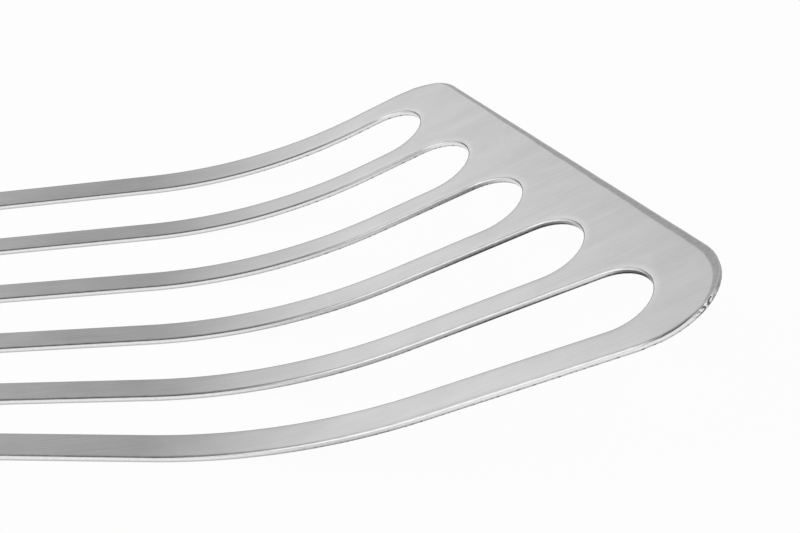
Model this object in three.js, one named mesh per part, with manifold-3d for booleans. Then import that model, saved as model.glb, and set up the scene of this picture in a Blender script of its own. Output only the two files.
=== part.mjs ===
// Slotted fish turner: a thin springy blade of stainless sheet whose full tang is riveted between two
// wooden scales. Millimetres, +Z up, +X from the handle to the front edge, +Y to the blade's straight side.
// It lies as it lies on a table, on the underside of the blade and of the lower scale.
import * as THREE from "three";
import { mergeVertices } from "three/addons/utils/BufferGeometryUtils.js";
import Module from "manifold-3d";

const wasm = await Module();
wasm.setup();
const { degToRad, lerp, smoothstep, clamp } = THREE.MathUtils;

// Blade sheet: level at the heel, bent softly up at the front
const SHEET = 0.635; // 24 gauge
const HEEL_TO_BEND = 74; // level length of the blade
const BEND_RADIUS = 67;
const BEND_ANGLE = degToRad(22.6);
const BEND_FACETS = 10;

// Front edge: skewed, longer on the flared side, ground to a bevel on its upper face
const FRONT_REACH = 45.95; // from the start of the bend to the edge, along the handle's axis
const FRONT_SKEW = degToRad(16.95);
const STRAIGHT_CORNER = 6.9; // corner radii
const FLARED_CORNER = 8.4;
const BEVEL_WIDTH = 0.85; // at the flared corner
const BEVEL_DEPTH = 0.2;
const BEVEL_TAPER = 0.5; // share of it left at the straight corner

// Tines: strips of sheet left between the slots, fanned from the heel, counted from the straight side
const TINES = 6;
const INNER_TINE = 3.25; // widths
const STRAIGHT_TINE = 3.95;
const FLARED_TINE = 3.8;
const FIRST_TINE = 23.5; // from the handle's axis to the first tine's middle, where the bend starts
const TINE_PITCH = 12.45; // from the first tine to the second
const PITCH_LOSS = 0.55; // each later pitch is smaller by this
const FIRST_ANGLE = degToRad(2.4); // outward lean of the first tine
const FAN_ANGLE = degToRad(13.6); // from the first tine to the last
const FAN_POWER = 1.36; // how the lean gathers towards the flared side
const SLOT_WEB = 11.25; // sheet between the slots' round ends, at their centres, and the front edge
const SLOT_BACK = 56; // slots' rear centres, behind the start of the bend

// Neck: cranked, so that the handle's underside and the blade's lie on one table
const CRANK_RADIUS = 16;
const CRANK_ANGLE = degToRad(24);
const CRANK_FACETS = 5;
const NECK_LEAD = 3.5; // level tang in front of the scales

// Handle: two scales with the tang's outline between them
const HANDLE_LENGTH = 120;
const NECK_WIDTH = 19; // outline widths from the neck to the butt
const BELLY_WIDTH = 25;
const WAIST_WIDTH = 21.6;
const BUTT_WIDTH = 26;
const SCALE_THICKNESS = 8.6;
const SCALE_NOSE = 0.62; // share of the thickness left at the scales' front end
const NOSE_LENGTH = 8; // over which the front end is rounded up
const CROWN_POWER = 2.9; // roundness of the section, 2 is an ellipse
const LAND_DEPTH = 0.5; // flat sanded on the underside
const GLUE_LINE = 0.05; // between scale and tang

// Cutlery rivets: a post from above pressed into a tube from below
const RIVET_NAMES = ["front", "middle", "rear"];
const FIRST_RIVET = 19; // behind the scales' front end
const LAST_RIVET = 17.5; // in front of the hanging eyelet
const RIVET_HEAD = 8; // diameters
const RIVET_TUBE = 5;
const RIVET_POST = 3;
const HEAD_DEPTH = 2.2;
const TUBE_SHORT = 1.2; // the tube stops this far under the post's head
const RIVET_FIT = 0.1; // radial play of the rivets and of the eyelet
const POST_FIT = 0.06; // radial play of the post in the tube
const SEAT = 0.04; // under each head

// Hanging eyelet through the butt
const EYELET_BORE = 7.6;
const EYELET_WALL = 0.7;
const EYELET_INSET = 12.5; // from the butt's end

// Spare length of the cutting bodies beyond what they cut
const SPARE = 6;
const ROUND = 28; // sides of a full circle
const END_STEPS = 9; // facets of a slot's round end or of a corner

// The tang's height above the blade leaves the lower scale, less its flat, between tang and table.
const RISE = SCALE_THICKNESS - LAND_DEPTH + GLUE_LINE;
const crankRun = (RISE - 2 * CRANK_RADIUS * (1 - Math.cos(CRANK_ANGLE))) / Math.sin(CRANK_ANGLE);

// A closed three.js geometry as a solid that can be joined and cut.
function solid(geometry) {
  geometry.deleteAttribute("normal");
  geometry.deleteAttribute("uv");
  const merged = mergeVertices(geometry, 1e-4);
  const triVerts = new Uint32Array(merged.index.array);
  const vertProperties = new Float32Array(merged.attributes.position.array);
  return new wasm.Manifold(new wasm.Mesh({ numProp: 3, vertProperties, triVerts }));
}

function mesh(name, body, material) {
  const { vertProperties, triVerts } = body.getMesh();
  const geometry = new THREE.BufferGeometry();
  geometry.setAttribute("position", new THREE.BufferAttribute(vertProperties, 3));
  geometry.setIndex(new THREE.BufferAttribute(triVerts, 1));
  geometry.computeVertexNormals();
  const made = new THREE.Mesh(geometry, material);
  made.name = name;
  return made;
}

// A slab that spans the whole tool between two heights.
function slab(bottom, top) {
  const size = 3 * (HANDLE_LENGTH + HEEL_TO_BEND);
  return solid(new THREE.BoxGeometry(size, size, top - bottom).translate(0, 0, (top + bottom) / 2));
}

// An upright round bar on the handle's axis.
function bar(x, radius, bottom, top) {
  const round = new THREE.CylinderGeometry(radius, radius, top - bottom, ROUND);
  return solid(round.rotateX(Math.PI / 2).translate(x, 0, (top + bottom) / 2));
}

// A skin over rings of points, all with the same count and sense, closed at both ends by fans.
function loft(rings) {
  const n = rings[0].length;
  const faces = [];
  for (let r = 0; r + 1 < rings.length; r++)
    for (let k = 0; k < n; k++) {
      const a = r * n + k;
      const b = r * n + ((k + 1) % n);
      faces.push(a, b, a + n, b, b + n, a + n);
    }
  const last = (rings.length - 1) * n;
  for (let k = 1; k + 1 < n; k++) faces.push(0, k + 1, k, last, last + k, last + k + 1);
  const geometry = new THREE.BufferGeometry().setFromPoints(rings.flat());
  return solid(geometry.setIndex(faces));
}

// The sheet's upper face seen from the side, as stations: u is the length along the sheet from the
// scales' front end, x and z its place, tilt its slope. It is level in the handle, cranked down at the
// neck, level on the table, bent up, then straight.
const stations = [{ u: -HANDLE_LENGTH - SPARE, x: -HANDLE_LENGTH - SPARE, z: RISE, tilt: 0 }];

function run(length) {
  const { u, x, z, tilt } = stations.at(-1);
  stations.push({ u: u + length, x: x + length * Math.cos(tilt), z: z + length * Math.sin(tilt), tilt });
}

function bend(radius, angle, facets) {
  const step = angle / facets;
  const chord = 2 * radius * Math.sin(Math.abs(step) / 2);
  for (let k = 0; k < facets; k++) {
    const { u, x, z, tilt } = stations.at(-1);
    const middle = tilt + step / 2;
    const next = { u: u + radius * Math.abs(step), x: x + chord * Math.cos(middle), tilt: tilt + step };
    stations.push({ ...next, z: z + chord * Math.sin(middle) });
  }
}

run(HANDLE_LENGTH + SPARE + NECK_LEAD);
bend(CRANK_RADIUS, -CRANK_ANGLE, CRANK_FACETS);
run(crankRun);
bend(CRANK_RADIUS, CRANK_ANGLE, CRANK_FACETS);
const heelStart = stations.at(-1).u;
run(HEEL_TO_BEND);
const bendStart = stations.at(-1).u;
bend(BEND_RADIUS, BEND_ANGLE, BEND_FACETS);
const plate = stations.at(-1);
run(3 * FRONT_REACH);

// Place across the table of a length along the sheet.
function planX(u) {
  const i = clamp(stations.findIndex((s) => s.u >= u), 1, stations.length - 1);
  const [a, b] = [stations[i - 1], stations[i]];
  return lerp(a.x, b.x, (u - a.u) / (b.u - a.u));
}

// A closed outline on the flat blank, taken to the plan of the bent sheet, with points where it bends.
function laid(blank) {
  return blank.flatMap((p, i) => {
    const q = blank[(i + 1) % blank.length];
    const shares = stations.map((s) => (s.u - p.x) / (q.x - p.x)).filter((f) => f > 1e-6 && f < 1 - 1e-6);
    const between = shares.sort((f, g) => f - g).map((f) => p.clone().lerp(q, f));
    return [p, ...between].map((r) => new THREE.Vector2(planX(r.x), r.y));
  });
}

// Straight lines on the blank are a point and a direction; distance is positive to their left.
function line(x, y, angle) {
  const along = new THREE.Vector2(Math.cos(angle), Math.sin(angle));
  return { at: new THREE.Vector2(x, y), along, left: new THREE.Vector2(-along.y, along.x) };
}

function distance(p, l) {
  return p.clone().sub(l.at).dot(l.left);
}

function meet(a, b) {
  const share = -distance(a.at, b) / a.along.dot(b.left);
  return a.at.clone().addScaledVector(a.along, share);
}

function shifted(l, offset) {
  return { ...l, at: l.at.clone().addScaledVector(l.left, offset) };
}

function arc(centre, radius, from, to, steps = END_STEPS) {
  return Array.from({ length: steps + 1 }, (_, k) => {
    const angle = lerp(from, to, k / steps);
    const p = new THREE.Vector2(Math.cos(angle), Math.sin(angle));
    return p.multiplyScalar(radius).add(centre);
  });
}

// Tine edges: side is 1 for the edge to the straight side and -1 for the other.
function tineEdge(j, side) {
  const last = TINES - 1;
  const width = j === 0 ? STRAIGHT_TINE : j === last ? FLARED_TINE : INNER_TINE;
  const middle = FIRST_TINE - j * TINE_PITCH + (PITCH_LOSS * j * (j - 1)) / 2;
  const angle = FIRST_ANGLE - FAN_ANGLE * (j / last) ** FAN_POWER;
  return shifted(line(bendStart, middle, angle), (side * width) / 2);
}

// Front edge, running from the flared side to the straight side, and lines level with the slots' centres
const frontEdge = line(bendStart + FRONT_REACH, 0, Math.PI / 2 + FRONT_SKEW);
const slotFront = line(bendStart + FRONT_REACH - SLOT_WEB, 0, Math.PI / 2 + FRONT_SKEW);
const slotRear = line(bendStart - SLOT_BACK, 0, Math.PI / 2);

// A slot between two tines: each round end is centred where the slot's middle meets its line.
function slot(j) {
  const upper = tineEdge(j, -1);
  const lower = tineEdge(j + 1, 1);
  const end = (across, from, to) => {
    const off = (p) => distance(p, upper) + distance(p, lower);
    const start = off(across.at);
    const share = start / (start - off(across.at.clone().add(across.along)));
    const centre = across.at.clone().addScaledVector(across.along, share);
    return arc(centre, distance(centre, lower), from, to);
  };
  const upperTurn = upper.left.angle();
  const lowerTurn = lower.left.angle() - Math.PI;
  return [...end(slotFront, upperTurn, lowerTurn), ...end(slotRear, lowerTurn, upperTurn - 2 * Math.PI)];
}

// Corners of the front edge: arcs that touch the edge and an outer tine's outer edge
const straightSide = tineEdge(0, 1);
const flaredSide = tineEdge(TINES - 1, -1);
const flaredCentre = meet(shifted(flaredSide, FLARED_CORNER), shifted(frontEdge, FLARED_CORNER));
const straightCentre = meet(shifted(straightSide, -STRAIGHT_CORNER), shifted(frontEdge, STRAIGHT_CORNER));
const outward = frontEdge.left.angle() - Math.PI;
const flaredTurn = flaredSide.left.angle() - Math.PI;
const flaredCorner = arc(flaredCentre, FLARED_CORNER, flaredTurn, outward);
const straightCorner = arc(straightCentre, STRAIGHT_CORNER, outward, straightSide.left.angle());

// Handle outline: half widths along the handle, from the front end, with a half-round butt
const buttRound = BUTT_WIDTH / 2;
const widths = [
  [0, NECK_WIDTH],
  [0.36 * HANDLE_LENGTH, BELLY_WIDTH],
  [0.7 * HANDLE_LENGTH, WAIST_WIDTH],
  [HANDLE_LENGTH - buttRound, BUTT_WIDTH],
];

function halfWidth(back) {
  const i = clamp(widths.findIndex(([b]) => b >= back), 1, widths.length - 1);
  const [[b0, w0], [b1, w1]] = [widths[i - 1], widths[i]];
  return lerp(w0, w1, smoothstep(back, b0, b1)) / 2;
}

function section(back, shrink) {
  const q = 1 - Math.min(back / NOSE_LENGTH, 1);
  const nose = lerp(SCALE_NOSE, 1, Math.sqrt(1 - q * q));
  return { back, half: halfWidth(back) * shrink, crown: SCALE_THICKNESS * nose * Math.sqrt(shrink) };
}

const noseBacks = [0, 0.08, 0.3, 0.6].map((share) => share * NOSE_LENGTH);
const barrel = HANDLE_LENGTH - buttRound - NOSE_LENGTH;
const barrelBacks = Array.from({ length: 19 }, (_, k) => NOSE_LENGTH + (barrel * k) / 18);
const buttTurns = [18, 35, 50, 62, 72, 80].map(degToRad);
const sections = [...noseBacks, ...barrelBacks].map((back) => section(back, 1));
for (const turn of buttTurns)
  sections.push(section(HANDLE_LENGTH - buttRound * (1 - Math.sin(turn)), Math.cos(turn)));

// The handle's whole shape: a rounded section above and below the tang, sanded flat underneath
function handleRing({ back, half, crown }) {
  const steps = 12;
  const side = (way) =>
    Array.from({ length: steps + 1 }, (_, k) => {
      const turn = (Math.PI * k) / steps;
      const across = Math.sign(Math.cos(turn)) * Math.abs(Math.cos(turn)) ** (2 / CROWN_POWER);
      const height = k % steps ? Math.sin(turn) ** (2 / CROWN_POWER) : 0;
      const z = RISE - SHEET / 2 + way * (SHEET / 2 + GLUE_LINE + crown * height);
      return new THREE.Vector3(-back, -way * half * (k === steps / 2 ? 0 : across), z);
    });
  return [...side(1), ...side(-1)];
}

const handleBody = loft(sections.map(handleRing)).intersect(slab(-SHEET, RISE + 2 * SCALE_THICKNESS));

// Holes along the handle
const eyeletX = EYELET_INSET - HANDLE_LENGTH;
const rivetXs = RIVET_NAMES.map((_, k) => {
  return lerp(-FIRST_RIVET, eyeletX + LAST_RIVET, k / (RIVET_NAMES.length - 1));
});
const eyeletRadius = EYELET_BORE / 2 + EYELET_WALL;
const top = RISE + SCALE_THICKNESS;
const upperSeat = top - HEAD_DEPTH;
const lowerSeat = HEAD_DEPTH - SHEET;
const below = -SHEET - SPARE;
const above = top + SPARE;
const shanks = rivetXs.map((x) => bar(x, RIVET_TUBE / 2 + RIVET_FIT, below, above));
const holes = [...shanks, bar(eyeletX, eyeletRadius + RIVET_FIT, below, above)];
const headRadius = RIVET_HEAD / 2 + RIVET_FIT;
const upperSinks = rivetXs.map((x) => bar(x, headRadius, upperSeat - SEAT, above));
const lowerSinks = rivetXs.map((x) => bar(x, headRadius, below, lowerSeat + SEAT));

// Blade: the bent sheet from the side, kept inside its outline seen from above, with the slots open
function neckFlare(side, heel) {
  const start = new THREE.Vector2(NECK_LEAD, (side * NECK_WIDTH) / 2);
  const reach = (heel.at.x - NECK_LEAD) * 0.5;
  const near = start.clone().add(new THREE.Vector2(reach, 0));
  const far = heel.at.clone().addScaledVector(heel.along, -reach);
  return new THREE.CubicBezierCurve(start, near, far, heel.at).getPoints(14);
}

const heelLine = line(heelStart + (HEEL_TO_BEND - SLOT_BACK) / 2, 0, Math.PI / 2);
const heelOf = (side) => ({ ...side, at: meet(side, heelLine) });
const tangSide = (way) => sections.map(({ back, half }) => new THREE.Vector2(-back, way * half));
const outline = [
  ...tangSide(-1).reverse(),
  ...neckFlare(-1, heelOf(flaredSide)),
  ...flaredCorner,
  ...straightCorner,
  ...neckFlare(1, heelOf(straightSide)).reverse(),
  ...tangSide(1),
];
const plan = new THREE.Shape(laid(outline));
for (let j = 0; j + 1 < TINES; j++) plan.holes.push(new THREE.Path(laid(slot(j))));

const underside = stations.map(({ x, z, tilt }) => {
  return new THREE.Vector2(x + SHEET * Math.sin(tilt), z - SHEET * Math.cos(tilt));
});
const upside = stations.map(({ x, z }) => new THREE.Vector2(x, z));
const breadth = 4 * (FIRST_TINE + TINE_PITCH);
const tall = 4 * (RISE + FRONT_REACH);
const sideShape = new THREE.Shape([...underside, ...upside.reverse()]);
const band = new THREE.ExtrudeGeometry(sideShape, { depth: breadth, bevelEnabled: false });
const column = new THREE.ExtrudeGeometry(plan, { depth: tall, bevelEnabled: false });
const sheet = solid(band.rotateX(Math.PI / 2).translate(0, breadth / 2, 0));
let blade = sheet.intersect(solid(column.translate(0, 0, -tall / 2)));

// The bevel is ground along the front edge, wider to the flared corner, and runs out round that corner.
function bevelRing(p, out, share) {
  const slope = BEVEL_DEPTH / BEVEL_WIDTH;
  const inner = -share * BEVEL_WIDTH - SHEET / slope;
  const corners = [
    [inner, SHEET],
    [SPARE, SHEET],
    [SPARE, -share * BEVEL_DEPTH - SPARE * slope],
  ];
  return corners.map(([o, w]) => {
    const u = p.x + o * out.x - plate.u;
    const x = plate.x + u * Math.cos(plate.tilt) - w * Math.sin(plate.tilt);
    const z = plate.z + u * Math.sin(plate.tilt) + w * Math.cos(plate.tilt);
    return new THREE.Vector3(x, p.y + o * out.y, z);
  });
}

const edgeOut = frontEdge.left.clone().negate();
const edgeEnd = straightCorner[0].clone().addScaledVector(frontEdge.along, 2 * STRAIGHT_CORNER);
const runOut = flaredCorner.map((p, k) => {
  const share = smoothstep(k / END_STEPS, 0.1, 0.75) - 0.1 * (1 - k / END_STEPS);
  return bevelRing(p, p.clone().sub(flaredCentre).normalize(), share);
});
blade = blade.subtract(loft([...runOut, bevelRing(edgeEnd, edgeOut, BEVEL_TAPER)]));
for (const hole of holes) blade = blade.subtract(hole);

// Scales
let upperScale = handleBody.intersect(slab(RISE + GLUE_LINE, above));
let lowerScale = handleBody.intersect(slab(below, RISE - SHEET - GLUE_LINE));
for (const hole of [...holes, ...upperSinks]) upperScale = upperScale.subtract(hole);
for (const hole of [...holes, ...lowerSinks]) lowerScale = lowerScale.subtract(hole);

// Rivets, their heads ground flush with the scales, and the eyelet
const postFoot = lowerSeat + TUBE_SHORT;
const tubeBore = RIVET_POST / 2 + POST_FIT;

function rivetPost(x) {
  const head = bar(x, RIVET_HEAD / 2, upperSeat, above);
  return head.add(bar(x, RIVET_POST / 2, postFoot, upperSeat + SEAT)).intersect(handleBody);
}

function rivetTube(x) {
  const head = bar(x, RIVET_HEAD / 2, below, lowerSeat);
  const tube = head.add(bar(x, RIVET_TUBE / 2, lowerSeat - SEAT, upperSeat - TUBE_SHORT));
  return tube.subtract(bar(x, tubeBore, lowerSeat, above)).intersect(handleBody);
}

const eyelet = bar(eyeletX, eyeletRadius, below, above)
  .subtract(bar(eyeletX, EYELET_BORE / 2, below - SPARE, above + SPARE))
  .intersect(handleBody);

const steel = new THREE.MeshStandardMaterial({ color: 0xc4c6c8, metalness: 1, roughness: 0.32 });
const walnut = new THREE.MeshStandardMaterial({ color: 0x5a3a25, roughness: 0.55 });
const nickel = new THREE.MeshStandardMaterial({ color: 0xd2d2cf, metalness: 1, roughness: 0.25 });

const turner = new THREE.Group();
turner.add(mesh("blade", blade, steel));
turner.add(mesh("upper_scale", upperScale, walnut));
turner.add(mesh("lower_scale", lowerScale, walnut));
RIVET_NAMES.forEach((name, k) => {
  turner.add(mesh(`${name}_rivet_post`, rivetPost(rivetXs[k]), nickel));
  turner.add(mesh(`${name}_rivet_tube`, rivetTube(rivetXs[k]), nickel));
});
turner.add(mesh("hanging_eyelet", eyelet, nickel));

// Origin under the middle of the tool's bounding box
const bounds = new THREE.Box3().setFromObject(turner);
const middle = bounds.getCenter(new THREE.Vector3());
for (const part of turner.children) part.geometry.translate(-middle.x, -middle.y, -bounds.min.z);

export default turner;
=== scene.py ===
"""Slotted fish turner: a springy stainless blade whose full tang is riveted between two walnut scales."""
import math

import bmesh
import bpy
import mathutils
import numpy as np
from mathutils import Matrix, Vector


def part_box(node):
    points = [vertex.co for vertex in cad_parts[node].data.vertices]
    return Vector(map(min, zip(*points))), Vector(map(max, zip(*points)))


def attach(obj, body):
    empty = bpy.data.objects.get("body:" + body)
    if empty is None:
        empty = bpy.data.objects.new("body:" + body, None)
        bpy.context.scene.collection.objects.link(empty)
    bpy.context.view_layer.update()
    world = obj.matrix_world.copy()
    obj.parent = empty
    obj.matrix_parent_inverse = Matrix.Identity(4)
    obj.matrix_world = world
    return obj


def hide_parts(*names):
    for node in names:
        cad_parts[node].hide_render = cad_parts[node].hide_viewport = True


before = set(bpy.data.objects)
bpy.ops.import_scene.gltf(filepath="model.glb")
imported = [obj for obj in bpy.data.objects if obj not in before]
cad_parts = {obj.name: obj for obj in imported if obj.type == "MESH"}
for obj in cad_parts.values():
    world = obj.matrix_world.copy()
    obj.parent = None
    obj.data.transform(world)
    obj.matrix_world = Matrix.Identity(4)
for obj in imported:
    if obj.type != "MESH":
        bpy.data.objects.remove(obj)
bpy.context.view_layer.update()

# Blade
# One sheet of spring stainless, stamped with slots, bent softly up at the front and cranked at the neck,
# with a full tang. Punching rolls its upper edges over, and its front edge is ground to a bevel by hand.
mm = 0.001
sheet = 0.635 * mm
glue_line = 0.05 * mm
level_length = 74 * mm
bend_radius = 67 * mm
bend_angle = math.radians(22.6)
crank_radius = 16 * mm
crank_angle = math.radians(24)
neck_width = 19 * mm
neck_lead = 3.5 * mm
front_reach = 45.95 * mm
front_skew = math.radians(16.95)
straight_corner = 6.9 * mm
flared_corner = 8.4 * mm
bevel_width = 0.85 * mm
bevel_depth = 0.2 * mm
bevel_taper = 0.5
bevel_start = 0.3
bevel_end = 0.05, 0.85
tine_count = 6
inner_tine = 3.25 * mm
straight_tine = 3.95 * mm
flared_tine = 3.8 * mm
first_tine = 23.5 * mm
tine_pitch = 12.45 * mm
pitch_loss = 0.55 * mm
first_lean = math.radians(2.4)
fan_angle = math.radians(13.6)
fan_power = 1.36
slot_web = 11.25 * mm
slot_back = 56 * mm
roll_width = 0.85 * mm
roll_depth = 0.2 * mm
roll_tight = 0.32
roll_dish = 0.15
tang_roll = 0.02 * mm
burr = 0.03 * mm
burr_knee = 0.3 * burr
rivet_tube_hole = 2.6 * mm
eyelet_hole = 4.6 * mm

# Tang outline, to which the scales are sanded too: a slim neck, a belly, a waist and a half-round butt.
# Distances run back from the scales' front end, and the turn across goes from one side over to the other.
handle_length = 120 * mm
belly_width = 25 * mm
belly_at = 0.36 * handle_length
waist_width = 21.6 * mm
waist_at = 0.7 * handle_length
butt_width = 26 * mm
butt_round = butt_width / 2
butt_start = handle_length - butt_round
butt_stop = math.radians(86.5)
butt_rows = 14
crown_power = 2.9
handle_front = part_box("upper_scale")[1][0]
rivet_names = ("front", "middle", "rear")
rivet_xs = [np.mean(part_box(f"{name}_rivet_post"), axis=0)[0] for name in rivet_names]
eyelet_x, axis_y = np.mean(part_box("hanging_eyelet"), axis=0)[:2]
bores = [handle_front - x for x in (*rivet_xs, eyelet_x)]
bore_frame = 6.2 * mm
frame_steps = 9
ring_rows = 15
strip_step = 1.4 * mm
fewest_rows = 4


def smooth_step(value, low, high):
    """Rises from 0 to 1 between low and high along 3 t squared minus 2 t cubed."""
    t = np.clip((value - low) / (high - low), 0, 1)
    return t * t * (3 - 2 * t)


def butt_shrink(back):
    """Half circle at the butt: the share of the width that is left, 1 along the rest of the handle."""
    q = np.clip((back - butt_start) / butt_round, 0, 1)
    return np.sqrt(np.maximum(1 - q * q, 0))


def half_width(back):
    """Half the outline's width: smooth steps from neck to belly, waist and butt, times the half circle."""
    belly = (belly_width - neck_width) * smooth_step(back, 0, belly_at)
    waist = (waist_width - belly_width) * smooth_step(back, belly_at, waist_at)
    butt = (butt_width - waist_width) * smooth_step(back, waist_at, butt_start)
    return (neck_width + belly + waist + butt) / 2 * butt_shrink(back)


def side_of(turn):
    """Place across as a share of the half width: the cosine drawn out to a rounded-box section."""
    c = np.cos(turn)
    return np.sign(c) * np.abs(c) ** (2 / crown_power)


def turn_of(side):
    """The turn at which the section stands at that share of its half width."""
    return np.arccos(np.clip(np.sign(side) * np.abs(side) ** (crown_power / 2), -1, 1))


def handle_panels(turns, radii):
    """Covers the handle, in distance back and turn across, with plain strips and, round each bore, rings
    of quads that go from a circle out to a four-sided frame: strips and rings by turns. Returns the grids,
    the circles and the distances along the long edges."""
    grids = []
    circles = []
    edge = []
    start = 0.0
    for centre, radius in zip(bores, radii):
        low = centre - bore_frame
        high = centre + bore_frame
        count = max(fewest_rows, round((low - start) / strip_step))
        share = np.linspace(0, 1, count)
        strip = start + (low - start) * (share ** 2 if start == 0 else share)
        grids.append(np.stack(np.meshgrid(strip, turns, indexing="ij"), -1))
        sides = np.linspace(low, high, frame_steps)
        edge += [strip[:-1], sides[:-1]]
        n = len(turns)
        around = np.concatenate([np.full(n, high), sides[-2:0:-1], np.full(n, low), sides[1:-1]])
        ends = np.ones(len(sides) - 2)
        across = np.concatenate([turns, ends * turns[-1], turns[::-1], ends * turns[0]])
        place = half_width(around) * side_of(across)
        angle = np.arctan2(place, around - centre)
        ring = centre + radius * np.cos(angle)
        ring_turn = turn_of(radius * np.sin(angle) / half_width(ring))
        circle = np.stack([ring, ring_turn], -1)
        share = np.linspace(0, 1, ring_rows)[:, None, None]
        grids.append(circle + (np.stack([around, across], -1) - circle) * share)
        circles.append(circle)
        start = high
    first = math.asin((start - butt_start) / butt_round)
    rest = butt_start + butt_round * np.sin(np.linspace(first, butt_stop, butt_rows))
    grids.append(np.stack(np.meshgrid(rest, turns, indexing="ij"), -1))
    edge.append(rest)
    return grids, circles, np.concatenate(edge)


# The bent sheet from the side
tang_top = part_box("upper_scale")[0][2] - glue_line
crank_rise = tang_top - sheet
crank_run = (crank_rise - 2 * crank_radius * (1 - math.cos(crank_angle))) / math.sin(crank_angle)
crank_start = -(level_length + 2 * crank_radius * crank_angle + crank_run)
tang_start = crank_start - neck_lead
crank_knees = np.array([0, crank_radius * crank_angle, crank_radius * crank_angle + crank_run])
slope_at = np.concatenate([crank_start + crank_knees, [-level_length, 0, bend_radius * bend_angle]])
slope_is = np.array([0, -crank_angle, -crank_angle, 0, 0, bend_angle])
walk_from = -250 * mm
walk_to = 90 * mm
walk_step = 0.05 * mm


def side_line(length):
    """The sheet's upper face from the side: its slope is a broken line over the length, and its place is
    the running sum of the slope's cosine and sine, counted from the start of the front bend."""
    fine = np.arange(walk_from, walk_to, walk_step)
    slope = np.interp(fine + walk_step / 2, slope_at, slope_is)
    forward = np.concatenate([[0], np.cumsum(np.cos(slope))[:-1]]) * walk_step
    up = np.concatenate([[0], np.cumsum(np.sin(slope))[:-1]]) * walk_step
    x = np.interp(length, fine, forward) - np.interp(0, fine, forward)
    z = np.interp(length, fine, up) - np.interp(0, fine, up) + sheet
    return x, z, np.interp(length, slope_at, slope_is)


# Tines and slots on the flat blank
tine = np.arange(tine_count)
lean = first_lean - fan_angle * (tine / (tine_count - 1)) ** fan_power
middle = first_tine - tine * tine_pitch + pitch_loss * tine * (tine - 1) / 2
width = np.array([straight_tine] + [inner_tine] * (tine_count - 2) + [flared_tine])
along = np.stack([np.cos(lean), np.sin(lean)], -1)
left = np.stack([-np.sin(lean), np.cos(lean)], -1)
edge_steps = 120
end_steps = 20
tine_steps = 8


def tine_edge(k, side):
    """A point on one edge of a tine, where the bend starts: half its width to either side of its middle."""
    return np.array([0, middle[k]]) + side * width[k] / 2 * left[k]


def end_circle(k, reach, skew):
    """The circle in a slot that touches the tines on both sides, centred on a line across the blank."""
    upper = tine_edge(k, -1)
    lower = tine_edge(k + 1, 1)
    start = np.array([reach, 0])
    across = np.array([-math.sin(skew), math.cos(skew)])
    gap = left[k + 1] @ (start - lower) + left[k] @ (start - upper)
    centre = start - across * gap / ((left[k] + left[k + 1]) @ across)
    return centre, left[k + 1] @ (centre - lower)


def radial(turns):
    """Unit directions at the given turns."""
    return np.stack([np.cos(turns), np.sin(turns)], -1)


def straight(start, stop, count):
    """Evenly spaced points on a line, without the last."""
    return start + (stop - start) * np.linspace(0, 1, count, endpoint=False)[:, None]


def slot_rim(k):
    """Rim of a slot, with the directions that point into it: along one tine, round the front end, back
    along the next tine and round the rear end."""
    front, front_radius = end_circle(k, front_reach - slot_web, front_skew)
    rear, rear_radius = end_circle(k, -slot_back, 0)
    upper_turn = math.pi / 2 + lean[k]
    lower_turn = lean[k + 1] - math.pi / 2
    front_out = radial(np.linspace(upper_turn, lower_turn, end_steps, endpoint=False))
    rear_out = radial(np.linspace(lower_turn, upper_turn - 2 * math.pi, end_steps, endpoint=False))
    upper = straight(rear + rear_radius * left[k], front + front_radius * left[k], edge_steps)
    lower_ends = front - front_radius * left[k + 1], rear - rear_radius * left[k + 1]
    lower = straight(*lower_ends, edge_steps)
    rim = [upper, front + front_radius * front_out, lower, rear + rear_radius * rear_out]
    upper_into = np.tile(-left[k], (edge_steps, 1))
    lower_into = np.tile(left[k + 1], (edge_steps, 1))
    return np.concatenate(rim), np.concatenate([upper_into, -front_out, lower_into, -rear_out])


slot_rims = [slot_rim(k) for k in range(tine_count - 1)]

# Front rim of the blade, from the straight side's corner along the edge and round the flared corner
front_at = np.array([front_reach, 0])
front_left = -radial(np.array(front_skew))


def corner_centre(k, side, radius):
    """Centre of a corner's circle: its radius away from the front edge and from the outer tine's edge."""
    edge = tine_edge(k, side)
    away = np.array([radius + front_left @ front_at, -side * radius + left[k] @ edge])
    return np.linalg.solve(np.array([front_left, left[k]]), away)


corner_a = corner_centre(0, 1, straight_corner)
corner_b = corner_centre(tine_count - 1, -1, flared_corner)
turn_a = math.pi / 2 + lean[0] - front_skew
turn_b = front_skew + math.pi / 2 - lean[-1]
edge_from = corner_a - straight_corner * front_left
edge_to = corner_b - flared_corner * front_left
length_a = straight_corner * turn_a
length_edge = np.linalg.norm(edge_to - edge_from)
length_b = flared_corner * turn_b
front_length = length_a + length_edge + length_b


def front_rim(share):
    """Points, outward directions and the bevel's share along the front rim: an arc, a line and an arc. The
    bevel comes in on the first arc, grows evenly along the line and runs out on the last arc."""
    run = np.asarray(share) * front_length
    first = np.minimum(run, length_a)
    last = np.maximum(run - length_a - length_edge, 0)
    out = radial(front_skew + turn_a - first / straight_corner - last / flared_corner)
    line = np.clip(run - length_a, 0, length_edge)[:, None] / length_edge
    on_edge = edge_from + (edge_to - edge_from) * line
    around_a = corner_a + straight_corner * out
    around_b = corner_b + flared_corner * out
    on_a = (run < length_a)[:, None]
    on_b = (run > length_a + length_edge)[:, None]
    grown = bevel_taper + (1 - bevel_taper) * np.clip((run - length_a) / length_edge, 0, 1)
    bevel = grown * smooth_step(first, bevel_start * length_a, length_a)
    bevel = bevel * (1 - smooth_step(last, bevel_end[0] * length_b, bevel_end[1] * length_b))
    return np.where(on_a, around_a, np.where(on_b, around_b, on_edge)), out, bevel


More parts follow.
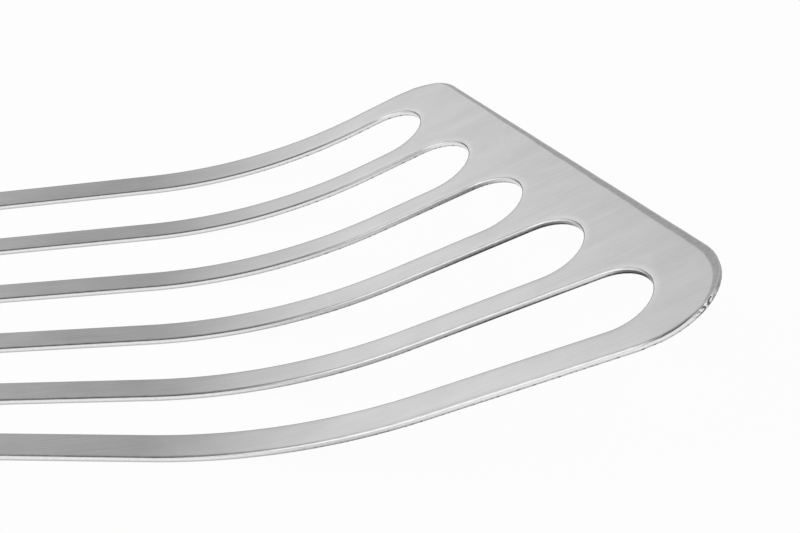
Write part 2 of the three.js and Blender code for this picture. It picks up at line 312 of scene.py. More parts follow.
# Outer edges behind the front rim: the outer tines, the heel, the neck's flares and the tang
heel_at = -(level_length + slot_back) / 2
flare_steps = 22
heel_steps = 8


def on_side(k, side, length):
    """The point at a given length on an outer tine's outer edge."""
    edge = tine_edge(k, side)
    return edge + along[k] * (length - edge[0]) / along[k][0]


def flare(k, side):
    """A curve of third degree from the neck, straight ahead, to the heel, along the outer tine's edge."""
    heel = on_side(k, side, heel_at)
    neck = np.array([crank_start, side * neck_width / 2])
    reach = (heel_at - crank_start) / 2
    pulls = [neck, neck + [reach, 0], heel - along[k] * reach, heel]
    t = np.linspace(0, 1, flare_steps)[:, None]
    weights = [(1 - t) ** 3, 3 * t * (1 - t) ** 2, 3 * t * t * (1 - t), t ** 3]
    speeds = [3 * (1 - t) ** 2, 6 * t * (1 - t), 3 * t * t]
    points = sum(w * p for w, p in zip(weights, pulls))
    slope = sum(w * (q - p) for w, p, q in zip(speeds, pulls, pulls[1:]))
    slope = slope / np.linalg.norm(slope, axis=1)[:, None]
    return points, side * np.stack([-slope[:, 1], slope[:, 0]], -1)


def outer_edge(k, side, corner):
    """One side of the outline from the neck to the front rim's corner, with its outward directions."""
    curve, curve_out = flare(k, side)
    rear = on_side(k, side, -slot_back)
    heel = straight(curve[-1], rear, heel_steps - 1)
    strip = straight(rear, corner, edge_steps)
    points = np.concatenate([curve[:-1], heel, strip, [corner]])
    flat = np.tile(side * left[k], (len(points) - flare_steps + 1, 1))
    return points, np.concatenate([curve_out[:-1], flat])


side_a, side_a_out = outer_edge(0, 1, front_rim([0])[0][0])
side_b, side_b_out = outer_edge(tine_count - 1, -1, front_rim([1])[0][0])
neck_ramp = smooth_step(np.arange(len(side_a)), 0, flare_steps - 1)
side_roll = tang_roll + (roll_width - tang_roll) * neck_ramp

# The two faces of the sheet, in panels that meet edge to edge
web_steps = 14
lead_steps = 4
line_steps = 2000


def chain(rows, arcs):
    """Joins the tines' end rows and the slots' round ends between them into one line across the blade."""
    pieces = [rows[0]]
    for row, bend in zip(rows[1:], arcs):
        pieces += [bend[1:-1], row]
    return np.concatenate(pieces)


def between(first, second, count):
    """A grid of points that goes evenly from one line to another with as many points."""
    share = np.linspace(0, 1, count)[:, None, None]
    return first + (second - first) * share


def share_ahead(rows, bends, line):
    """For the tines' end rows and the slots' round ends between them, how far along a line across the blade
    each point comes to when it goes on along its tine, or between the leans of the tines beside it."""
    whole = np.linspace(0, 1, len(line))
    across = np.maximum.accumulate(-line @ left.T).T
    met = []
    for k, row in enumerate(rows):
        if k:
            share = smooth_step(np.linspace(0, 1, end_steps + 1)[1:-1], 0, 1)
            bend = bends[k - 1][1:-1]
            before, after = (np.interp(-bend @ left[j], across[j], whole) for j in (k - 1, k))
            met.append(before + (after - before) * share)
        met.append(np.interp(-row @ left[k], across[k], whole))
    made = np.concatenate(met)
    return (made - made[0]) / (made[-1] - made[0])


def on_tang(grid, inset):
    """Takes distances back and turns across to the blank, with the tang's sides moved in by an inset."""
    across = (half_width(grid[..., 0]) - inset) * side_of(grid[..., 1])
    return np.stack([tang_start - grid[..., 0], across], -1)


def sheet_face(slot_inset, side_inset, tang_inset, front_line, shares=None):
    """One face of the blank as grids of (length, across): tang, neck, heel, tines and front web. Each edge
    is moved into the metal by its inset, so that the rolled edges fit on. front_line takes the shares
    along the front rim and gives the rows that the web ends in."""
    slots = [rim - into * slot_inset for rim, into in slot_rims]
    a = side_a - side_a_out * side_inset[:, None]
    b = side_b - side_b_out * side_inset[:, None]
    heel_from, heel_to = a[flare_steps - 1], b[flare_steps - 1]
    e, r = edge_steps, end_steps
    tail = len(a) - e - 1
    uppers = [s[: e + 1] for s in slots] + [b[tail:]]
    lowers = [a[tail:]] + [s[e + r : 2 * e + r + 1][::-1] for s in slots]
    tines = [between(lo, up, tine_steps).swapaxes(0, 1) for lo, up in zip(lowers, uppers)]
    fronts = [s[e : e + r + 1] for s in slots]
    rears = [np.concatenate([s[2 * e + r :], s[:1]])[::-1] for s in slots]
    front_rows = [t[-1] for t in tines]
    rear_rows = [t[0] for t in tines]
    if shares is None:
        whole = np.linspace(0, 1, line_steps)
        heel_line = heel_from + (heel_to - heel_from) * whole[:, None]
        ahead = share_ahead(front_rows, fronts, front_line(whole)[0])
        shares = [ahead, share_ahead(rear_rows, rears, heel_line)]
    fraction = shares[1][:, None]
    rows = front_line(shares[0])
    web = np.concatenate([between(chain(front_rows, fronts), rows[0], web_steps), rows[1:]])
    heel_line = heel_from + (heel_to - heel_from) * fraction
    heel = between(heel_line, chain(rear_rows, rears), heel_steps)
    neck = a[:flare_steps, None] + (b[:flare_steps, None] - a[:flare_steps, None]) * fraction
    turns = turn_of(1 - 2 * fraction[:, 0])
    panels, circles, edge = handle_panels(turns, [rivet_tube_hole] * len(rivet_names) + [eyelet_hole])
    tang = [on_tang(grid, tang_inset) for grid in panels]
    holes = [on_tang(circle, tang_inset) for circle in circles]
    plain = [between(tang[0][0], neck[0], lead_steps), neck, heel, *tines]
    return {"plain": plain, "web": web, "tang": tang, "holes": holes, "edge": edge, "shares": shares}


# Rows down the bevel. Its border wanders a little, as a sum of three waves along the rim.
keen_from = 0.4
border_rows = (0.5, 0.15)
bevel_steps = (0.0, 0.1, 0.4, 0.8, 1.0)
wave_turns = np.array([0.55, 1.37, 2.9])[:, None] / mm
wave_starts = np.array([1.0, 0.0, 0.0])[:, None]
wave_sizes = np.array([0.035, 0.021, 0.014]) * mm


def front_roll(bevel):
    """Width of the rolled edge along the front: as the punched edges have, and keen under the bevel."""
    return roll_width + (2 * burr - roll_width) * smooth_step(bevel, 0, keen_from)


def top_front(share):
    """Rows of the upper face at the front: up to the bevel's wandering border, then down the bevel."""
    rim, out, bevel = front_rim(share)
    wander = wave_sizes @ np.sin(wave_turns * share * front_length + wave_starts)
    border = np.maximum((bevel_width + wander) * bevel, front_roll(bevel))
    insets = [border + row * roll_width * bevel for row in border_rows]
    insets += [border + (front_roll(bevel) - border) * step for step in bevel_steps]
    return np.stack([rim - out * inset[:, None] for inset in insets])


def bottom_front(share):
    """Last row of the underside at the front."""
    rim, out, _ = front_rim(share)
    return (rim - out * burr)[None]


top = sheet_face(roll_width, side_roll, tang_roll, top_front)
bottom = sheet_face(burr, np.full(len(side_a), burr), burr, bottom_front, top["shares"])
tip_steps = 400
tip_x = side_line(front_rim(np.linspace(0, 1, tip_steps))[0][:, 0])[0].max()
bend_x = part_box("blade")[1][0] - tip_x


def bend_sheet(blank, depth):
    """Takes points of the flat blank to the bent sheet, a depth below its upper face."""
    x, z, slope = side_line(blank[..., 0])
    place = [bend_x + x + depth * np.sin(slope), axis_y + blank[..., 1], z - depth * np.cos(slope)]
    return np.stack(np.broadcast_arrays(*place), -1)


# Profile of a rolled edge, as shares of its width and depth: the sheet sinks along a parabola, then turns
# down in a quarter of an ellipse that goes on from the parabola's slope
dish_steps = 6
tight_steps = 8
dish_run = np.linspace(0, 1, dish_steps)[:, None]
tight_turn = np.linspace(0, math.pi / 2, tight_steps)[1:, None]
dish_slope = 2 * roll_dish / (1 - roll_tight)
tight_run = roll_tight * np.sin(tight_turn)
tight_fall = 1 - roll_dish - dish_slope * roll_tight
tight_drop = roll_dish + dish_slope * tight_run + tight_fall * (1 - np.cos(tight_turn))
roll_out = np.concatenate([(1 - roll_tight) * dish_run, 1 - roll_tight + tight_run])
roll_fall = np.concatenate([roll_dish * dish_run ** 2, tight_drop])
FACE, ROLL, WALL, BEVEL = range(4)


def wall_strip(rim, out, roll, roll_down, start):
    """An edge of the sheet: its rolled upper corner, the wall and the small burr underneath, carried along
    a rim. Returns the grid, its place on the flat blank, and its length along the rim and depth."""
    flush = np.zeros_like(roll)
    inset = np.concatenate([roll * (1 - roll_out), flush, flush, flush + burr_knee, flush + burr])
    half_down = (start + roll_down + sheet - burr) / 2
    foot = [flush + sheet - burr, flush + sheet - burr_knee, flush + sheet]
    down = np.concatenate([start + roll_down * roll_fall, half_down, *foot])
    length = np.concatenate([[0], np.cumsum(np.linalg.norm(np.diff(rim, axis=0), axis=1))])
    blank = rim[None] - out[None] * inset[..., None]
    return bend_sheet(blank, down), blank, np.stack([np.broadcast_to(length, down.shape), down], -1)


def edge_patches(grid, blank, path):
    """An edge's strip in its three finishes: brushed dish, burnished corner and sheared wall."""
    dish = len(dish_run)
    tight = len(roll_out)
    dished = (grid[:dish], blank[:dish], True, FACE)
    rolled = (grid[dish - 1 : tight], path[dish - 1 : tight], True, ROLL)
    return [dished, rolled, (grid[tight - 1 :], path[tight - 1 :], True, WALL)]


def quads(rows, columns, closed):
    """Corner numbers of a grid's faces; a closed grid joins its last column to its first."""
    at = np.arange(rows * columns).reshape(rows, columns)
    if closed:
        at = np.concatenate([at, at[:, :1]], 1)
    return np.stack([at[:-1, :-1], at[:-1, 1:], at[1:, 1:], at[1:, :-1]], -1).reshape(-1, 4)


weld_gap = 0.0001 * mm
sharp_from = math.radians(38)


def make_piece(name, patches, materials, node):
    """Welds patches of (points, surface coordinates, closed, material) into one closed skin that stands
    for a CAD node. Each patch is a grid of points."""
    points = np.concatenate([patch[0].reshape(-1, 3) for patch in patches])
    flat = np.concatenate([patch[1].reshape(-1, 2) for patch in patches])
    faces = []
    finish = []
    first = 0
    for grid, _, closed, material in patches:
        made = quads(*grid.shape[:2], closed) + first
        faces.append(made)
        finish.append(np.full(len(made), material))
        first += grid.shape[0] * grid.shape[1]
    faces = np.concatenate(faces)
    mesh = bpy.data.meshes.new(name)
    mesh.from_pydata(points.tolist(), [], faces.tolist())
    layer = mesh.uv_layers.new(name="surface")
    layer.data.foreach_set("uv", flat[faces.ravel()].ravel())
    mesh.polygons.foreach_set("material_index", np.concatenate(finish))
    skin = bmesh.new()
    skin.from_mesh(mesh)
    bmesh.ops.remove_doubles(skin, verts=skin.verts, dist=weld_gap)
    bmesh.ops.recalc_face_normals(skin, faces=skin.faces)
    skin.to_mesh(mesh)
    skin.free()
    mesh.polygons.foreach_set("use_smooth", np.ones(len(mesh.polygons), bool))
    mesh.set_sharp_from_angle(angle=sharp_from)
    for material in materials:
        mesh.materials.append(material)
    piece = bpy.data.objects.new(name, mesh)
    bpy.context.collection.objects.link(piece)
    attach(piece, "root")
    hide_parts(node)


# Both faces, the bevel, the tang's bores and the slots' edges
blade_patches = []
for part, depth in ((top, 0.0), (bottom, sheet)):
    for grid in part["plain"]:
        blade_patches.append((bend_sheet(grid, depth), grid, False, FACE))
    for k, grid in enumerate(part["tang"]):
        blade_patches.append((bend_sheet(grid, depth), grid, k % 2 == 1, FACE))
web_rows = len(top["web"]) - len(bevel_steps)
web_face = top["web"][: web_rows + 1]
blade_patches.append((bend_sheet(web_face, 0.0), web_face, False, FACE))
blade_patches.append((bend_sheet(bottom["web"], sheet), bottom["web"], False, FACE))
bevel_rows = top["web"][web_rows:]
reach_in = np.linalg.norm(bevel_rows - bevel_rows[-1], axis=-1)
bevel_drop = bevel_depth / bevel_width * (reach_in[:1] - reach_in)
blade_patches.append((bend_sheet(bevel_rows, bevel_drop), bevel_rows, False, BEVEL))
for upper_hole, lower_hole in zip(top["holes"], bottom["holes"]):
    wall = np.stack([bend_sheet(upper_hole, 0.0), bend_sheet(lower_hole, sheet)])
    blade_patches.append((wall, np.stack([upper_hole, lower_hole]), True, WALL))
for rim, into in slot_rims:
    roll = np.full((1, len(rim)), roll_width)
    blade_patches += edge_patches(*wall_strip(rim, into, roll, np.full_like(roll, roll_depth), 0 * roll))

# The outline's edge, once round: tang, neck lead, straight side, front rim, flared side, lead, tang, butt
chain_rim, chain_out, chain_bevel = front_rim(top["shares"][0])
tang_edge = top["edge"]
tang_a = np.stack([tang_start - tang_edge, half_width(tang_edge)], -1)
tang_b = tang_a * [1, -1]
tang_side = 1 - 2 * top["shares"][1][-2:0:-1, None]
tang_end = tang_a[-1] * np.concatenate([np.ones_like(tang_side), tang_side], 1)
end_out = np.concatenate([0 * tang_side, tang_side], 1)
lead_a = between(tang_a[:1], side_a[:1], lead_steps)[1:-1, 0]
lead_b = (lead_a * [1, -1])[::-1]
tang_out = np.tile([0.0, 1.0], (len(tang_a), 1))
lead_out = np.tile([0.0, 1.0], (len(lead_a), 1))
outline = [tang_a[::-1], lead_a, side_a[:-1], chain_rim]
outline += [side_b[-2::-1], lead_b, tang_b, tang_end]
outline_out = [tang_out, lead_out, side_a_out[:-1], chain_out]
outline_out += [side_b_out[-2::-1], -lead_out, -tang_out, end_out]
tang_rolls, lead_rolls, end_rolls = (np.full(len(p), tang_roll) for p in (tang_a, lead_a, tang_end))
rolls_before = [tang_rolls, lead_rolls, side_roll[:-1]]
rolls_after = [side_roll[-2::-1], lead_rolls, tang_rolls, end_rolls]
starts_before = [0 * roll for roll in rolls_before]
starts_after = [0 * roll for roll in rolls_after]
outline_roll = np.concatenate([*rolls_before, front_roll(chain_bevel), *rolls_after])[None]
outline_start = np.concatenate([*starts_before, bevel_drop[-1], *starts_after])[None]
outline_down = outline_roll * roll_depth / roll_width
outline_line = np.concatenate(outline), np.concatenate(outline_out)
blade_patches += edge_patches(*wall_strip(*outline_line, outline_roll, outline_down, outline_start))


class Value:
    """A socket of a shader tree. Sums, differences, products and powers of values add Math nodes."""

    def __init__(self, tree, socket=None):
        self.tree = tree
        self.socket = socket

    def make(self, kind, settings=None, sockets=None, out=0):
        """Adds a node of a kind, with its settings first and then its sockets' values or links."""
        node = self.tree.nodes.new(kind)
        for key, value in (settings or {}).items():
            setattr(node, key, value)
        for key, value in (sockets or {}).items():
            if isinstance(value, Value):
                self.tree.links.new(value.socket, node.inputs[key])
            else:
                node.inputs[key].default_value = value
        return Value(self.tree, node.outputs[out])

    def maths(self, operation, first, second):
        """A Math node on two values or numbers."""
        return self.make("ShaderNodeMath", {"operation": operation}, {0: first, 1: second})

    def __add__(self, other):
        return self.maths("ADD", self, other)

    def __sub__(self, other):
        return self.maths("SUBTRACT", self, other)

    def __rsub__(self, other):
        return self.maths("SUBTRACT", other, self)

    def __mul__(self, other):
        return self.maths("MULTIPLY", self, other)

    def __pow__(self, other):
        return self.maths("POWER", self, other)

    __radd__ = __add__
    __rmul__ = __mul__

    def part(self, axis):
        """One coordinate of a vector."""
        return self.make("ShaderNodeSeparateXYZ", None, {0: self}, axis)

    def blend(self, first, second):
        """Mixes two colours by this value."""
        sockets = {"Factor": self, "A": first, "B": second}
        return self.make("ShaderNodeMix", {"data_type": "RGBA"}, sockets, 2)

    def band(self, low, high):
        """Rises from 0 to 1 as this value goes from low to high."""
        sockets = {"Value": self, "From Min": low, "From Max": high}
        return self.make("ShaderNodeMapRange", {"interpolation_type": "SMOOTHSTEP"}, sockets)


def new_material(name, metallic=0.0):
    """A material with a bare principled shader, and a value to start its maths from."""
    material = bpy.data.materials.new(name)
    material.use_nodes = True
    shader = material.node_tree.nodes["Principled BSDF"]
    shader.inputs["Metallic"].default_value = metallic
    return material, Value(material.node_tree), shader


def link(value, shader, socket):
    """Lets a value feed a socket of a shader."""
    value.tree.links.new(value.socket, shader.inputs[socket])


def emboss(height, shader, strength, distance):
    """Tilts the shading by the slope of a height, which stands for that distance."""
    sockets = {"Strength": strength, "Distance": distance, "Height": height}
    link(height.make("ShaderNodeBump", None, sockets), shader, "Normal")


def grey(level):
    """A colour without hue, opaque."""
    return (level, level, level, 1)


def surface_place(field):
    """The piece's own surface coordinates, in metres."""
    return field.make("ShaderNodeUVMap", {"uv_map": "surface"})


def inner_place(field):
    """The place in the piece's own space, in metres."""
    return field.make("ShaderNodeTexCoord", None, None, "Object")


def noise_on(field, scale, detail=2.0, rough=0.5):
    """Noise on the surface coordinates, with its own scale along and across, in cells per metre."""
    sockets = {0: surface_place(field), 1: (*scale, 0)}
    drawn = field.make("ShaderNodeVectorMath", {"operation": "MULTIPLY"}, sockets)
    sockets = {"Vector": drawn, "Scale": 1.0, "Detail": detail, "Roughness": rough}
    return field.make("ShaderNodeTexNoise", {"noise_dimensions": "2D"}, sockets)


# The blade's finishes, each from its darker marks to its lighter ones. A reach, depth or cut gives the two
# values between which a mark fades in.
noise_span = 0.3, 0.7
dull_steel = grey(0.4), grey(0.49)
# Painted light: the lighter tone of the steel from the bend on to the front
painted_light_steel = grey(0.53), grey(0.61)
burnished_steel = grey(0.56), grey(0.64)
sheared_steel = grey(0.74), grey(0.86)
ground_steel = grey(0.64), grey(0.72)
wall_foot = grey(0.5)
belt_dulled = grey(0.24)
torn_pit = grey(0.12)
# Where the painted light on the steel fades in, around the start of the bend
painted_light_reach = -14 * mm, 14 * mm
torn_reach = 6 * mm, 22 * mm
torn_cut = 0.52, 0.62
torn_depth = 0.66 * sheet, 0.92 * sheet
foot_depth = 0.55 * sheet, 0.9 * sheet
nick_share = 0.91
nick_cut = 0.46, 0.52
nick_reach = 2.2 * mm, 0.8 * mm
belt_share = 0.85
belt_reach = 4.2 * mm, 2.4 * mm


def brushed_steel():
    """Stainless brushed along the tines: fine long scratches over soft cloudy patches of finish, with
    painted light that makes it a little brighter from the bend on to the front that slides under the food."""
    material, field, shader = new_material("brushed_steel", metallic=1.0)
    scratch = noise_on(field, (55, 5200), detail=3.0, rough=0.6)
    hair = noise_on(field, (160, 16000))
    cloud = noise_on(field, (170, 280), detail=4.0)
    lines = 0.6 * scratch + 0.4 * hair
    tone = (0.6 * lines + 0.4 * cloud).band(*noise_span)
    # Painted light: the steel turns a little brighter from the bend on to the front
    painted_light = surface_place(field).part("X").band(*painted_light_reach)
    link(painted_light.blend(tone.blend(*dull_steel), tone.blend(*painted_light_steel)), shader, "Base Color")
    link(0.16 + 0.12 * lines + 0.03 * cloud, shader, "Roughness")
    emboss(lines, shader, strength=0.17, distance=0.004 * mm)
    return material


def burnished_roll():
    """The turned-down corner of the punched edges: tumbled smooth, with faint nicks along it."""
    material, field, shader = new_material("burnished_roll", metallic=1.0)
    nick = noise_on(field, (900, 5200), detail=3.0)
    link(nick.band(*noise_span).blend(*burnished_steel), shader, "Base Color")
    link(0.1 + 0.1 * nick, shader, "Roughness")
    return material


def off_front(field, share):
    """Distance from the middle of the wall at a share of the front rim."""
    spot = tuple(bend_sheet(front_rim([share])[0], sheet / 2)[0])
    sockets = {0: inner_place(field), 1: spot}
    return field.make("ShaderNodeVectorMath", {"operation": "DISTANCE"}, sockets, "Value")


def sheared_edge():
    """The punched wall: smooth where the punch slid along it, darker at its foot and torn there in the
    bend. The belt has dulled it beside the bevel and nicked it where the bevel runs out at the flared
    corner."""
    material, field, shader = new_material("sheared_edge", metallic=1.0)
    grain = noise_on(field, (2500, 9000), detail=3.0)
    depth = surface_place(field).part("Y")
    bent = (inner_place(field).part("X") - bend_x).band(*torn_reach)
    torn = noise_on(field, (2000, 3500), rough=0.6).band(*torn_cut) * depth.band(*torn_depth) * bent
    nick = noise_on(field, (2600, 4200)).band(*nick_cut) * off_front(field, nick_share).band(*nick_reach)
    torn = field.maths("MAXIMUM", torn, nick)
    wall = grain.band(*noise_span).blend(*sheared_steel)
    wall = depth.band(*foot_depth).blend(wall, wall_foot)
    wall = off_front(field, belt_share).band(*belt_reach).blend(wall, belt_dulled)
    link(torn.blend(wall, torn_pit), shader, "Base Color")
    link(0.24 + 0.16 * grain, shader, "Roughness")
    emboss(grain - 0.6 * torn, shader, strength=0.25, distance=0.006 * mm)
    return material


def ground_bevel():
    """The front edge as it leaves the belt: dull, with fine marks across the edge."""
    material, field, shader = new_material("ground_bevel", metallic=1.0)
    marks = noise_on(field, (1500, 2600), detail=3.0)
    link(marks.band(*noise_span).blend(*ground_steel), shader, "Base Color")
    link(0.26 + 0.12 * marks, shader, "Roughness")
    emboss(marks, shader, strength=0.25, distance=0.004 * mm)
    return material


blade_finishes = [brushed_steel(), burnished_roll(), sheared_edge(), ground_bevel()]
make_piece("blade_sheet", blade_patches, blade_finishes, "blade")

# Scales
# Two walnut halves, sawn flat inside, sanded round outside and glued on either side of the tang, then
# oiled. Each is bored for the rivets, sunk for their heads, and bored through the butt for the eyelet.
scale_thickness = 8.6 * mm
nose_share = 0.62
nose_length = 8 * mm
nose_rows = 8
butt_cap_rows = 2
head_depth = 2.2 * mm
head_hole = 4.1 * mm
seat_gap = 0.04 * mm
upper_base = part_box("upper_scale")[0][2]
upper_seat = tang_top + scale_thickness - head_depth
lower_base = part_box("lower_scale")[1][2]
lower_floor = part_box("lower_scale")[0][2]
lower_seat = lower_floor + head_depth
section_steps = 45
walnut_light = (0.16, 0.082, 0.042, 1)
walnut_heart = (0.07, 0.032, 0.016, 1)
ring_dark = (0.05, 0.022, 0.011, 1)
fibre_pale = (0.22, 0.125, 0.07, 1)
pore_dark = (0.018, 0.009, 0.005, 1)
streak_span = 0.35, 0.68
pore_cut = 0.62, 0.7
heart_aside = 21 * mm
heart_below = 34 * mm
heart_sway = 12 * mm, 8 * mm
ring_turns = 3300
oil_coat = 0.12
oil_roughness = 0.3


def crown_height(back):
    """Height of a scale at its middle: rounded up over the nose and down over the butt."""
    q = 1 - np.clip(back / nose_length, 0, 1)
    nose = nose_share + (1 - nose_share) * np.sqrt(1 - q * q)
    return scale_thickness * nose * np.sqrt(butt_shrink(back))


def on_scale(base, way, grid, share):
    """Points of a scale at a share of its height: the rounded-box section stretched to the local width
    and crown. The lower scale is cut off flat where the tool rests on the table."""
    back = grid[..., 0]
    height = share * crown_height(back) * np.abs(np.sin(grid[..., 1])) ** (2 / crown_power)
    across = axis_y + half_width(back) * side_of(grid[..., 1])
    return np.stack([handle_front - back, across, np.maximum(base + way * height, lower_floor)], -1)


def scale_patches(base, way, seat):
    """One scale: its crown, its flat inner face, the nose and butt ends, and the stepped bores."""
    turns = math.pi * smooth_step(np.linspace(0, 1, section_steps), 0, 1)
    wide = [head_hole] * len(rivet_names) + [eyelet_hole]
    narrow = [rivet_tube_hole] * len(rivet_names) + [eyelet_hole]
    crown, sinks, _ = handle_panels(turns, wide)
    face, bores_in, _ = handle_panels(turns, narrow)
    patches = []
    for share, panels in ((1, crown), (0, face)):
        for k, grid in enumerate(panels):
            patches.append((on_scale(base, way, grid, share), grid, k % 2 == 1, 0))
    for end, count in ((0, nose_rows), (-1, butt_cap_rows)):
        inside = on_scale(base, way, face[end][end], 0)
        outside = on_scale(base, way, crown[end][end], 1)
        cap = between(inside, outside, count)
        patches.append((cap, cap[..., :2], False, 0))
    for k, (sink, bore) in enumerate(zip(sinks, bores_in)):
        rows = [on_scale(base, way, sink, 1), on_scale(base, way, bore, 0)]
        if k < len(rivet_names):
            steps = [row * [1, 1, 0] + [0, 0, seat - way * seat_gap] for row in rows]
            rows = [rows[0], *steps, rows[1]]
        wall = np.stack(rows)
        patches.append((wall, wall[..., :2], True, 0))
    return patches


def noise_in(field, scale, detail=2.0, rough=0.5, bend=0.0):
    """Noise in the piece's own space, with its own scale along each axis, in cells per metre."""
    sockets = {0: inner_place(field), 1: scale}
    drawn = field.make("ShaderNodeVectorMath", {"operation": "MULTIPLY"}, sockets)
    sockets = {"Vector": drawn, "Scale": 1.0, "Detail": detail, "Roughness": rough, "Distortion": bend}
    return field.make("ShaderNodeTexNoise", None, sockets)


def oiled_walnut():
    """Walnut cut nearly along the grain: growth rings round a heart under the handle, drawn out along it,
    streaks of darker heartwood, fine fibres and open pores, under a thin coat of oil."""
    material, field, shader = new_material("oiled_walnut")
    place = inner_place(field)
    wander = noise_in(field, (14, 60, 60))
    side = place.part("Y") + heart_aside + heart_sway[0] * wander
    depth = place.part("Z") + heart_below + heart_sway[1] * wander
    ring = (side * side + depth * depth) ** 0.5
    wave = field.make("ShaderNodeMath", {"operation": "SINE"}, {0: ring_turns * ring})
    figure = (0.5 + 0.5 * wave) ** 2.0
    fibre = noise_in(field, (70, 2600, 2600), detail=3.0, rough=0.6)
    streak = noise_in(field, (18, 260, 260), detail=3.0, rough=0.55, bend=0.4)
    pore = noise_in(field, (260, 5200, 5200)).band(*pore_cut)
    tone = streak.band(*streak_span).blend(walnut_light, walnut_heart)
    tone = (0.45 * figure).blend(tone, ring_dark)
    tone = (0.35 * fibre).blend(tone, fibre_pale)
    link((0.7 * pore).blend(tone, pore_dark), shader, "Base Color")
    link(0.36 + 0.14 * fibre + 0.2 * pore, shader, "Roughness")
    emboss(0.5 * fibre - 0.8 * pore, shader, strength=0.4, distance=0.03 * mm)
    shader.inputs["Coat Weight"].default_value = oil_coat
    shader.inputs["Coat Roughness"].default_value = oil_roughness
    return material


walnut = oiled_walnut()
upper_patches = scale_patches(upper_base, 1, upper_seat)
make_piece("upper_walnut", upper_patches, [walnut], "upper_scale")
lower_patches = scale_patches(lower_base, -1, lower_seat)
make_piece("lower_walnut", lower_patches, [walnut], "lower_scale")

# Rivets
# Three cutlery rivets hold the handle: a turned nickel post from above is pressed into a turned tube from
# below, and both heads are sanded flush with the wood, so they carry the sander's lines along the handle.
rivet_head = 4.0 * mm
rivet_post = 1.5 * mm
rivet_tube = 2.5 * mm
press_gap = 0.06 * mm
tube_bore = rivet_post + press_gap
tube_short = 1.2 * mm
head_break = 0.09 * mm
dome_rows = 10
round_steps = 96
round_turn = np.linspace(0, 2 * math.pi, round_steps, endpoint=False)
nickel_dark = (0.58, 0.55, 0.5, 1)
nickel_light = (0.72, 0.69, 0.63, 1)


def turned(x, radii, height):
    """A piece turned about an upright axis in the handle: rows of radii, each at a height that may vary
    round the axis."""
    spread = np.asarray(radii)[:, None]
    px = x + spread * np.cos(round_turn)
    py = axis_y + spread * np.sin(round_turn)
    return np.stack([px, py, height(px, py)], -1)


def crown_at(x, y, base, way):
    """Height of a scale's outside over a place: what the rounded-box section leaves there."""
    back = handle_front - x
    side = np.clip(np.abs(y - axis_y) / half_width(back), 0, 1)
    height = crown_height(back) * (1 - side ** crown_power) ** (1 / crown_power)
    return np.maximum(base + way * height, lower_floor)


def rivet_half(x, base, way, seat, shank, stop, bore):
    """One half of a rivet: a head that follows the wood, its broken edge and side, the shank and, for the
    tube, the bore."""
    dome = np.linspace(0, rivet_head - head_break, dome_rows)
    head = turned(x, dome, lambda px, py: crown_at(px, py, base, way))
    rim = turned(x, [rivet_head], lambda px, py: crown_at(px, py, base, way) - way * head_break)
    radii = [rivet_head, shank, shank, bore, bore, 0] if bore else [rivet_head, shank, shank, 0]
    levels = [seat, seat, stop, stop, seat, seat] if bore else [seat, seat, stop, stop]
    rest = turned(x, radii, lambda px, py: np.array(levels)[:, None] + 0 * px)
    grid = np.concatenate([head, rim, rest])
    return [(grid, grid[..., :2], True, 0)]


def sanded_nickel():
    """Nickel silver sanded along the handle: fine straight lines and a slightly uneven shine."""
    material, field, shader = new_material("sanded_nickel", metallic=1.0)
    lines = noise_in(field, (260, 14000, 4000), detail=3.0, rough=0.6)
    cloud = noise_in(field, (500, 500, 500))
    link(lines.band(*noise_span).blend(nickel_dark, nickel_light), shader, "Base Color")
    link(0.18 + 0.14 * lines + 0.08 * cloud, shader, "Roughness")
    emboss(lines, shader, strength=0.3, distance=0.004 * mm)
    return material


nickel = sanded_nickel()
post_foot = lower_seat + tube_short
tube_top = upper_seat - tube_short
for name, x in zip(rivet_names, rivet_xs):
    post = rivet_half(x, upper_base, 1, upper_seat, rivet_post, post_foot, 0)
    make_piece(f"{name}_post", post, [nickel], f"{name}_rivet_post")
    tube = rivet_half(x, lower_base, -1, lower_seat, rivet_tube, tube_top, tube_bore)
    make_piece(f"{name}_tube", tube, [nickel], f"{name}_rivet_tube")

# Hanging eyelet
# A short nickel tube pressed through the butt, so that the tool can hang on a hook; its rims are rounded
# and lie flush with the wood above and below.
eyelet_bore = 3.8 * mm
eyelet_outside = 4.5 * mm
rim_rows = 9
rim_round = (eyelet_outside - eyelet_bore) / 2
rim_turn = np.linspace(0, math.pi, rim_rows)
rim_radii = eyelet_bore + rim_round * (1 - np.cos(rim_turn))
rim_dip = rim_round * (1 - np.sin(rim_turn))[:, None]


def eyelet_rim(base, way):
    """One rim: a half circle over the tube's wall, set down so that its ridge follows the wood."""
    return turned(eyelet_x, rim_radii, lambda px, py: crown_at(px, py, base, way) - way * rim_dip)


eyelet_ring = np.concatenate([eyelet_rim(upper_base, 1), eyelet_rim(lower_base, -1)[::-1]])
eyelet_ring = np.concatenate([eyelet_ring, eyelet_ring[:1]])
eyelet_patches = [(eyelet_ring, eyelet_ring[..., :2], True, 0)]
make_piece("eyelet", eyelet_patches, [nickel], "hanging_eyelet")

# Studio floor
# A white sheet that the tool lies on and that keeps its shadow. What shines sees it white too, but with a
# painted shadow: dim under the raised front of the blade, where little light gets in, and darkest under the
# front web.
floor_half = 1.5
floor_z = -0.05 * mm
floor_white = grey(0.9)
floor_glow = 0.95

# Where the painted shadow on the floor fades in, ahead of the bend and aside of the handle's axis
shade_rear = 4 * mm, 22 * mm
shade_front = 62 * mm, 50 * mm
shade_near = -50 * mm, -40 * mm
shade_far = 4 * mm, -24 * mm
dim_to_dark = 26 * mm, 35 * mm
